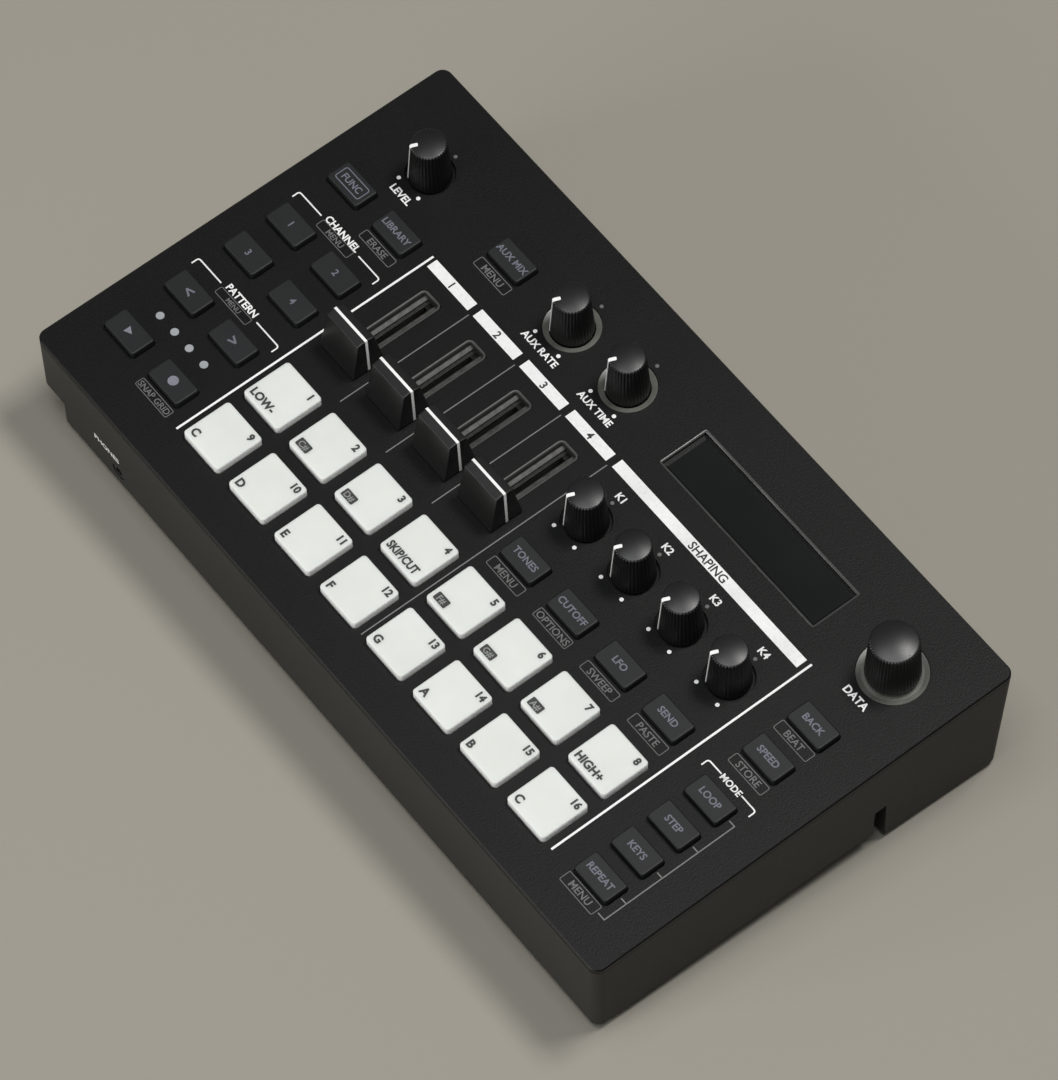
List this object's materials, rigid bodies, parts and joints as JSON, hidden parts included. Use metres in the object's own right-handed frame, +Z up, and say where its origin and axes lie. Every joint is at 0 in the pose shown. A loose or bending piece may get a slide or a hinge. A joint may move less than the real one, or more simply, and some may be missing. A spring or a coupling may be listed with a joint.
{
  "type": "drum machine",
  "caption": "Desktop drum machine: wedge-shaped black case with square white pads, small buttons, ribbed knobs, short faders and a narrow display window.",
  "frame": {"origin": "on the table under the middle of the case", "axes": "+X to the player's right, +Y from the front wall to the rear wall, +Z up from the table; the panel rises 4.5 degrees to the rear"},
  "size_m": [0.325, 0.1856, 0.0812],
  "materials": {
    "case_plastic": "fine matte grain",
    "panel_plastic": "fine matte grain with printed white lines",
    "window": "polished dark lens",
    "light_guide": "frosted",
    "board": "solder mask, black component bodies",
    "connector": "moulded",
    "rubber": "matte",
    "steel": "plated",
    "pad_silicone": "translucent satin",
    "button_plastic": "satin with lettering in dim grey",
    "knob_plastic": "soft satin with white pointer",
    "fader_plastic": "satin with white line",
    "shaft_metal": "turned"
  },
  "bodies": {
    "case": {"lower_case": "case_plastic", "top_panel": "panel_plastic", "display_window": "window", "light_guides": "light_guide", "main_board": "board", "connectors": "connector", "rubber_feet": "rubber", "screws": "steel"},
    "battery_door": {"battery_door": "case_plastic"},
    "power_switch": {"power_switch": "connector"},
    "encoder_plunger": {"encoder_plunger": "shaft_metal"},
    "pad_01": {"pad_01": "pad_silicone"},
    "pad_02": {"pad_02": "pad_silicone"},
    "pad_03": {"pad_03": "pad_silicone"},
    "pad_04": {"pad_04": "pad_silicone"},
    "pad_05": {"pad_05": "pad_silicone"},
    "pad_06": {"pad_06": "pad_silicone"},
    "pad_07": {"pad_07": "pad_silicone"},
    "pad_08": {"pad_08": "pad_silicone"},
    "pad_09": {"pad_09": "pad_silicone"},
    "pad_10": {"pad_10": "pad_silicone"},
    "pad_11": {"pad_11": "pad_silicone"},
    "pad_12": {"pad_12": "pad_silicone"},
    "pad_13": {"pad_13": "pad_silicone"},
    "pad_14": {"pad_14": "pad_silicone"},
    "pad_15": {"pad_15": "pad_silicone"},
    "pad_16": {"pad_16": "pad_silicone"},
    "button_play": {"button_play": "button_plastic"},
    "button_record": {"button_record": "button_plastic"},
    "button_step_back": {"button_step_back": "button_plastic"},
    "button_step_forward": {"button_step_forward": "button_plastic"},
    "button_track_3": {"button_track_3": "button_plastic"},
    "button_track_4": {"button_track_4": "button_plastic"},
    "button_track_1": {"button_track_1": "button_plastic"},
    "button_track_2": {"button_track_2": "button_plastic"},
    "button_shift": {"button_shift": "button_plastic"},
    "button_song": {"button_song": "button_plastic"},
    "button_effects": {"button_effects": "button_plastic"},
    "button_sound": {"button_sound": "button_plastic"},
    "button_filter": {"button_filter": "button_plastic"},
    "button_modulation": {"button_modulation": "button_plastic"},
    "button_send": {"button_send": "button_plastic"},
    "button_exit": {"button_exit": "button_plastic"},
    "button_tempo": {"button_tempo": "button_plastic"},
    "button_clip": {"button_clip": "button_plastic"},
    "button_sequence": {"button_sequence": "button_plastic"},
    "button_note": {"button_note": "button_plastic"},
    "button_roll": {"button_roll": "button_plastic"},
    "knob_level": {"knob_level": "knob_plastic"},
    "knob_effect_1": {"knob_effect_1": "knob_plastic"},
    "knob_effect_2": {"knob_effect_2": "knob_plastic"},
    "knob_control_1": {"knob_control_1": "knob_plastic"},
    "knob_control_2": {"knob_control_2": "knob_plastic"},
    "knob_control_3": {"knob_control_3": "knob_plastic"},
    "knob_control_4": {"knob_control_4": "knob_plastic"},
    "knob_value": {"knob_value": "knob_plastic"},
    "fader_1": {"fader_1": "fader_plastic"},
    "fader_2": {"fader_2": "fader_plastic"},
    "fader_3": {"fader_3": "fader_plastic"},
    "fader_4": {"fader_4": "fader_plastic"}
  },
  "joints": [
    {"name": "pad_01_press", "type": "slide", "parent": "case", "child": "pad_01", "axis": [0, 0.0785, -0.9969], "range_m": [0, 0.0012], "stiffness_N_per_m": 800},
    {"name": "pad_02_press", "type": "slide", "parent": "case", "child": "pad_02", "axis": [0, 0.0785, -0.9969], "range_m": [0, 0.0012], "stiffness_N_per_m": 800},
    {"name": "pad_03_press", "type": "slide", "parent": "case", "child": "pad_03", "axis": [0, 0.0785, -0.9969], "range_m": [0, 0.0012], "stiffness_N_per_m": 800},
    {"name": "pad_04_press", "type": "slide", "parent": "case", "child": "pad_04", "axis": [0, 0.0785, -0.9969], "range_m": [0, 0.0012], "stiffness_N_per_m": 800},
    {"name": "pad_05_press", "type": "slide", "parent": "case", "child": "pad_05", "axis": [0, 0.0785, -0.9969], "range_m": [0, 0.0012], "stiffness_N_per_m": 800},
    {"name": "pad_06_press", "type": "slide", "parent": "case", "child": "pad_06", "axis": [0, 0.0785, -0.9969], "range_m": [0, 0.0012], "stiffness_N_per_m": 800},
    {"name": "pad_07_press", "type": "slide", "parent": "case", "child": "pad_07", "axis": [0, 0.0785, -0.9969], "range_m": [0, 0.0012], "stiffness_N_per_m": 800},
    {"name": "pad_08_press", "type": "slide", "parent": "case", "child": "pad_08", "axis": [0, 0.0785, -0.9969], "range_m": [0, 0.0012], "stiffness_N_per_m": 800},
    {"name": "pad_09_press", "type": "slide", "parent": "case", "child": "pad_09", "axis": [0, 0.0785, -0.9969], "range_m": [0, 0.0012], "stiffness_N_per_m": 800},
    {"name": "pad_10_press", "type": "slide", "parent": "case", "child": "pad_10", "axis": [0, 0.0785, -0.9969], "range_m": [0, 0.0012], "stiffness_N_per_m": 800},
    {"name": "pad_11_press", "type": "slide", "parent": "case", "child": "pad_11", "axis": [0, 0.0785, -0.9969], "range_m": [0, 0.0012], "stiffness_N_per_m": 800},
    {"name": "pad_12_press", "type": "slide", "parent": "case", "child": "pad_12", "axis": [0, 0.0785, -0.9969], "range_m": [0, 0.0012], "stiffness_N_per_m": 800},
    {"name": "pad_13_press", "type": "slide", "parent": "case", "child": "pad_13", "axis": [0, 0.0785, -0.9969], "range_m": [0, 0.0012], "stiffness_N_per_m": 800},
    {"name": "pad_14_press", "type": "slide", "parent": "case", "child": "pad_14", "axis": [0, 0.0785, -0.9969], "range_m": [0, 0.0012], "stiffness_N_per_m": 800},
    {"name": "pad_15_press", "type": "slide", "parent": "case", "child": "pad_15", "axis": [0, 0.0785, -0.9969], "range_m": [0, 0.0012], "stiffness_N_per_m": 800},
    {"name": "pad_16_press", "type": "slide", "parent": "case", "child": "pad_16", "axis": [0, 0.0785, -0.9969], "range_m": [0, 0.0012], "stiffness_N_per_m": 800},
    {"name": "button_play_press", "type": "slide", "parent": "case", "child": "button_play", "axis": [0, 0.0785, -0.9969], "range_m": [0, 0.001], "stiffness_N_per_m": 600},
    {"name": "button_record_press", "type": "slide", "parent": "case", "child": "button_record", "axis": [0, 0.0785, -0.9969], "range_m": [0, 0.001], "stiffness_N_per_m": 600},
    {"name": "button_step_back_press", "type": "slide", "parent": "case", "child": "button_step_back", "axis": [0, 0.0785, -0.9969], "range_m": [0, 0.001], "stiffness_N_per_m": 600},
    {"name": "button_step_forward_press", "type": "slide", "parent": "case", "child": "button_step_forward", "axis": [0, 0.0785, -0.9969], "range_m": [0, 0.001], "stiffness_N_per_m": 600},
    {"name": "button_track_3_press", "type": "slide", "parent": "case", "child": "button_track_3", "axis": [0, 0.0785, -0.9969], "range_m": [0, 0.001], "stiffness_N_per_m": 600},
    {"name": "button_track_4_press", "type": "slide", "parent": "case", "child": "button_track_4", "axis": [0, 0.0785, -0.9969], "range_m": [0, 0.001], "stiffness_N_per_m": 600},
    {"name": "button_track_1_press", "type": "slide", "parent": "case", "child": "button_track_1", "axis": [0, 0.0785, -0.9969], "range_m": [0, 0.001], "stiffness_N_per_m": 600},
    {"name": "button_track_2_press", "type": "slide", "parent": "case", "child": "button_track_2", "axis": [0, 0.0785, -0.9969], "range_m": [0, 0.001], "stiffness_N_per_m": 600},
    {"name": "button_shift_press", "type": "slide", "parent": "case", "child": "button_shift", "axis": [0, 0.0785, -0.9969], "range_m": [0, 0.001], "stiffness_N_per_m": 600},
    {"name": "button_song_press", "type": "slide", "parent": "case", "child": "button_song", "axis": [0, 0.0785, -0.9969], "range_m": [0, 0.001], "stiffness_N_per_m": 600},
    {"name": "button_effects_press", "type": "slide", "parent": "case", "child": "button_effects", "axis": [0, 0.0785, -0.9969], "range_m": [0, 0.001], "stiffness_N_per_m": 600},
    {"name": "button_sound_press", "type": "slide", "parent": "case", "child": "button_sound", "axis": [0, 0.0785, -0.9969], "range_m": [0, 0.001], "stiffness_N_per_m": 600},
    {"name": "button_filter_press", "type": "slide", "parent": "case", "child": "button_filter", "axis": [0, 0.0785, -0.9969], "range_m": [0, 0.001], "stiffness_N_per_m": 600},
    {"name": "button_modulation_press", "type": "slide", "parent": "case", "child": "button_modulation", "axis": [0, 0.0785, -0.9969], "range_m": [0, 0.001], "stiffness_N_per_m": 600},
    {"name": "button_send_press", "type": "slide", "parent": "case", "child": "button_send", "axis": [0, 0.0785, -0.9969], "range_m": [0, 0.001], "stiffness_N_per_m": 600},
    {"name": "button_exit_press", "type": "slide", "parent": "case", "child": "button_exit", "axis": [0, 0.0785, -0.9969], "range_m": [0, 0.001], "stiffness_N_per_m": 600},
    {"name": "button_tempo_press", "type": "slide", "parent": "case", "child": "button_tempo", "axis": [0, 0.0785, -0.9969], "range_m": [0, 0.001], "stiffness_N_per_m": 600},
    {"name": "button_clip_press", "type": "slide", "parent": "case", "child": "button_clip", "axis": [0, 0.0785, -0.9969], "range_m": [0, 0.001], "stiffness_N_per_m": 600},
    {"name": "button_sequence_press", "type": "slide", "parent": "case", "child": "button_sequence", "axis": [0, 0.0785, -0.9969], "range_m": [0, 0.001], "stiffness_N_per_m": 600},
    {"name": "button_note_press", "type": "slide", "parent": "case", "child": "button_note", "axis": [0, 0.0785, -0.9969], "range_m": [0, 0.001], "stiffness_N_per_m": 600},
    {"name": "button_roll_press", "type": "slide", "parent": "case", "child": "button_roll", "axis": [0, 0.0785, -0.9969], "range_m": [0, 0.001], "stiffness_N_per_m": 600},
    {"name": "knob_level_turn", "type": "hinge", "parent": "case", "child": "knob_level", "pos_m": [-0.1282, 0.0598, 0.05777], "axis": [0, 0.0785, -0.9969], "range_deg": [0, 300]},
    {"name": "knob_effect_1_turn", "type": "hinge", "parent": "case", "child": "knob_effect_1", "pos_m": [-0.0447, 0.0598, 0.05777], "axis": [0, 0.0785, -0.9969], "range_deg": [0, 300]},
    {"name": "knob_effect_2_turn", "type": "hinge", "parent": "case", "child": "knob_effect_2", "pos_m": [-0.0127, 0.0598, 0.05777], "axis": [0, 0.0785, -0.9969], "range_deg": [0, 300]},
    {"name": "knob_control_1_turn", "type": "hinge", "parent": "case", "child": "knob_control_1", "pos_m": [0.02152, 0.01414, 0.05418], "axis": [0, 0.0785, -0.9969], "range_deg": [0, 300]},
    {"name": "knob_control_2_turn", "type": "hinge", "parent": "case", "child": "knob_control_2", "pos_m": [0.0482, 0.01414, 0.05418], "axis": [0, 0.0785, -0.9969], "range_deg": [0, 300]},
    {"name": "knob_control_3_turn", "type": "hinge", "parent": "case", "child": "knob_control_3", "pos_m": [0.07488, 0.01414, 0.05418], "axis": [0, 0.0785, -0.9969], "range_deg": [0, 300]},
    {"name": "knob_control_4_turn", "type": "hinge", "parent": "case", "child": "knob_control_4", "pos_m": [0.10156, 0.01414, 0.05418], "axis": [0, 0.0785, -0.9969], "range_deg": [0, 300]},
    {"name": "encoder_press", "type": "slide", "parent": "case", "child": "encoder_plunger", "axis": [0, 0.0785, -0.9969], "range_m": [0, 0.0008], "stiffness_N_per_m": 800},
    {"name": "knob_value_turn", "type": "hinge", "parent": "encoder_plunger", "child": "knob_value", "pos_m": [0.1352, 0.0598, 0.05777], "axis": [0, 0.0785, -0.9969], "continuous": true},
    {"name": "fader_1_slide", "type": "slide", "parent": "case", "child": "fader_1", "axis": [0, 0.9969, 0.0785], "range_m": [0, 0.03]},
    {"name": "fader_2_slide", "type": "slide", "parent": "case", "child": "fader_2", "axis": [0, 0.9969, 0.0785], "range_m": [0, 0.03]},
    {"name": "fader_3_slide", "type": "slide", "parent": "case", "child": "fader_3", "axis": [0, 0.9969, 0.0785], "range_m": [0, 0.03]},
    {"name": "fader_4_slide", "type": "slide", "parent": "case", "child": "fader_4", "axis": [0, 0.9969, 0.0785], "range_m": [0, 0.03]},
    {"name": "power_switch_slide", "type": "slide", "parent": "case", "child": "power_switch", "axis": [1, 0, 0], "range_m": [0, 0.004]},
    {"name": "battery_door_slide", "type": "slide", "parent": "case", "child": "battery_door", "axis": [0, -1, 0], "range_m": [0, 0.044]}
  ]
}
